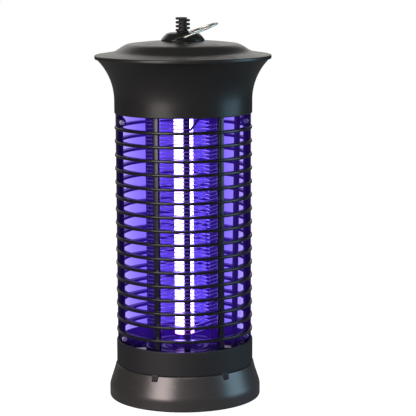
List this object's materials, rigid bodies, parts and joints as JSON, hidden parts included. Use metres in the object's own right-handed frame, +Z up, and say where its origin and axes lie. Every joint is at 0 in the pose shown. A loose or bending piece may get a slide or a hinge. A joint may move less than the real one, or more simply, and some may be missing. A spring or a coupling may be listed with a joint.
{
  "type": "electric bug zapper",
  "caption": "Hanging lantern-style insect killer: violet lamp inside a high-voltage wire grid, round guard cage, flared top housing and pull-off tray.",
  "frame": {"origin": "centre of the underside of the tray's foot ring", "axes": "+Z up along the lamp, -Y the front (the side of the front grid post and of the guard screws' heads), +X to the right"},
  "size_m": [0.1464, 0.1464, 0.318],
  "materials": {
    "base_plastic": "fine-textured gunmetal moulding",
    "collar_plastic": "matte black moulding",
    "gloss_black": "polished black moulding",
    "screw_steel": "zinc-plated",
    "holder_plastic": "moulded",
    "lamp_glass": "phosphor-coated glass",
    "cap_metal": "satin",
    "pin_brass": "plain",
    "post_plastic": "moulded",
    "grid_wire": "drawn wire",
    "guard_plastic": "satin-gloss black moulding",
    "sleeve_rubber": "smooth sleeving",
    "housing_plastic": "satin gunmetal",
    "board_green": "solder-masked laminate",
    "white_plastic": "moulded",
    "ferrite": "pressed ferrite with a wound coil",
    "capacitor_red": "dipped",
    "diode_black": "moulded",
    "resistor_tan": "lacquered",
    "ballast_steel": "laminated core with a wound coil",
    "lid_plastic": "satin gunmetal",
    "boss_plastic": "satin black",
    "relief_rubber": "soft moulded",
    "loop_wire": "bright drawn wire"
  },
  "bodies": {
    "main_body": {"lower_collar": "collar_plastic", "lower_deck": "gloss_black", "deck_screws": "screw_steel", "lower_grid_plate": "gloss_black", "lower_lampholder": "holder_plastic", "lamp_tube": "lamp_glass", "lamp_end_caps": "cap_metal", "lamp_pins": "pin_brass", "grid_post_front": "post_plastic", "grid_post_right": "post_plastic", "grid_post_rear": "post_plastic", "grid_post_left": "post_plastic", "live_grid_wire": "grid_wire", "return_grid_wire": "grid_wire", "grid_post_screws": "screw_steel", "upper_grid_plate": "gloss_black", "upper_deck": "gloss_black", "upper_deck_screws": "screw_steel", "upper_lampholder": "holder_plastic", "front_guard": "guard_plastic", "rear_guard": "guard_plastic", "guard_screws": "screw_steel", "lamp_lead_sleeve": "sleeve_rubber", "grid_leads": "sleeve_rubber", "top_housing": "housing_plastic", "driver_board": "board_green", "board_standoffs": "white_plastic", "board_screws": "screw_steel", "step_up_transformer": "ferrite", "film_capacitors": "capacitor_red", "rectifier_diodes": "diode_black", "discharge_resistor": "resistor_tan", "lamp_ballast": "ballast_steel", "terminal_block": "white_plastic", "top_lid": "lid_plastic", "lid_screws": "screw_steel", "hanger_boss": "boss_plastic", "boss_screws": "screw_steel", "strain_relief": "relief_rubber"},
    "tray": {"collection_tray": "base_plastic"},
    "hanger": {"hanging_loop": "loop_wire"}
  },
  "joints": [
    {"name": "tray_pull", "type": "slide", "parent": "main_body", "child": "tray", "axis": [0, 0, -1], "range_m": [0, 0.045]},
    {"name": "loop_swing", "type": "hinge", "parent": "main_body", "child": "hanger", "pos_m": [0, 0, 0.3023], "axis": [0, -1, 0], "range_deg": [-25, 164]}
  ]
}
